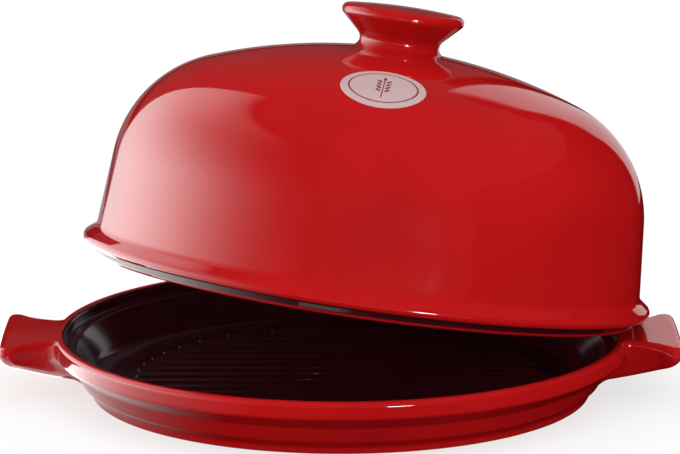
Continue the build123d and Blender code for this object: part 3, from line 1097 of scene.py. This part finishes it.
def hang_sheets(settings):
    """Hang the tent that lights evenly, and the two softboxes and the black flags that the glaze mirrors."""
    tent_radius, left_radius, right_radius, flag_radius = 6.0, 0.70, 0.68, 0.72
    sweep, foot, lift, flag_start, flag_end, flag_lift = 0.08, 0.14, 0.001, 0.1235, 0.95, 0.0004
    tent = Finish("tent_cloth").cloth({"Emission Color": WHITE, "Emission Strength": settings.tent_glow})
    path = arc((0, 0), tent_radius, 0.1, 89.9, 24)
    add_sheet("light_tent", path, np.linspace(0, 360, 73), tent, mirrored=False)
    bend = arc((left_radius - sweep, sweep + lift), sweep, -90, 0, 9)
    path = np.concatenate([[(foot, lift)], bend, upright(left_radius, 0.1, 1.35, 12)])
    add_sheet("left_softbox", path, np.linspace(-146, -25, 64), left_cloth(settings.left_glow))
    path = upright(right_radius, 0.004, 0.56, 8)
    add_sheet("right_softbox", path, np.linspace(143.5, 163.2, 16), right_cloth(settings.right_glow))
    flag = flag_cloth()
    path = np.array([(flag_start, flag_lift), (flag_end, flag_lift)])
    add_sheet("floor_flag", path, np.linspace(-80, 213, 120), flag)
    add_sheet("side_flag", upright(flag_radius, 0, 0.5), np.linspace(40, 166, 60), flag)
    net = Finish("net_cloth").cloth({"Alpha": settings.net_cover})
    add_sheet("back_net", upright(flag_radius, 0, 0.2), np.linspace(166, 213, 24), net)


# Each lamp: its name, place, target, width and height, power, and whether the glaze mirrors it.
MIDDLE = (0, 0, 0.1)
LAMPS = (
    ("front_fill", (0.2, -3.0, 0.7), MIDDLE, (2.6, 1.3), 26, False),
    ("left_fill", (-2.6, -0.3, 0.7), MIDDLE, (2.4, 1.3), 10, False),
    ("right_fill", (2.6, -0.3, 0.7), MIDDLE, (2.4, 1.3), 8, False),
    ("spark", (0.78, -1.9, 0.065), (0, 0, 0.065), (0.34, 0.10), 17, True),
)


class CLOCHE_OT_stage(bpy.types.Operator):
    """Lay the floor, hang the lamps and set the camera"""

    bl_idname = "cloche.stage"
    bl_label = "Stage"

    def execute(self, context):
        scene = context.scene
        settings = scene.cloche.stage
        scene.view_settings.view_transform = "Standard"
        half = settings.floor_size / 2
        corners = [(-half, -half, 0), (half, -half, 0), (half, half, 0), (-half, half, 0)]
        new_object("floor", corners, [(0, 1, 2, 3)], floor_paint(settings))

        world = bpy.data.worlds.new("studio")
        world.use_nodes = True
        background = world.node_tree.nodes["Background"]
        background.inputs["Color"].default_value = WHITE
        background.inputs["Strength"].default_value = settings.world_glow
        scene.world = world
        for lamp in LAMPS:
            add_panel_lamp(*lamp)
        hang_sheets(settings)

        camera = bpy.data.cameras.new("camera")
        camera.lens = settings.camera_lens
        camera.sensor_width = settings.camera_sensor
        camera.shift_x = settings.camera_shift
        camera.clip_end = 200
        camera_object = bpy.data.objects.new("camera", camera)
        camera_object.location = settings.camera_place
        camera_object.rotation_euler = (settings.camera_tilt, 0, 0)
        scene.collection.objects.link(camera_object)
        scene.camera = camera_object
        return {"FINISHED"}


OPERATORS = (CLOCHE_OT_dish, CLOCHE_OT_dome, CLOCHE_OT_knob, CLOCHE_OT_medallion, CLOCHE_OT_stage)


class CLOCHE_PT_panel(bpy.types.Panel):
    """Buttons and settings of the bread cloche"""

    bl_idname = "CLOCHE_PT_panel"
    bl_label = "Bread cloche"
    bl_space_type = "VIEW_3D"
    bl_region_type = "UI"
    bl_category = "Cloche"

    def draw(self, context):
        for operator in OPERATORS:
            self.layout.operator(operator.bl_idname)
        settings = context.scene.cloche
        for part in ("dish", "handle", "lid", "knob", "medallion", "colours", "stage"):
            group = getattr(settings, part)
            box = self.layout.box()
            box.label(text=group.bl_rna.name)
            for key in group.bl_rna.properties.keys():
                if key not in ("rna_type", "name"):
                    box.prop(group, key)


SIZES = (DishSizes, HandleSizes, LidSizes, KnobSizes, MedallionSizes)
CLASSES = (*SIZES, GlazeColours, StageSettings, ClocheSettings, *OPERATORS, CLOCHE_PT_panel)


def register():
    for item in CLASSES:
        bpy.utils.register_class(item)
    bpy.types.Scene.cloche = PointerProperty(type=ClocheSettings)


def unregister():
    del bpy.types.Scene.cloche
    for item in reversed(CLASSES):
        bpy.utils.unregister_class(item)


def main():
    """Register everything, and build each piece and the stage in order."""
    register()
    bpy.ops.cloche.dish()
    bpy.ops.cloche.dome()
    bpy.ops.cloche.knob()
    bpy.ops.cloche.medallion()
    bpy.ops.cloche.stage()
    bpy.context.view_layer.update()


if __name__ == "__main__":
    main()
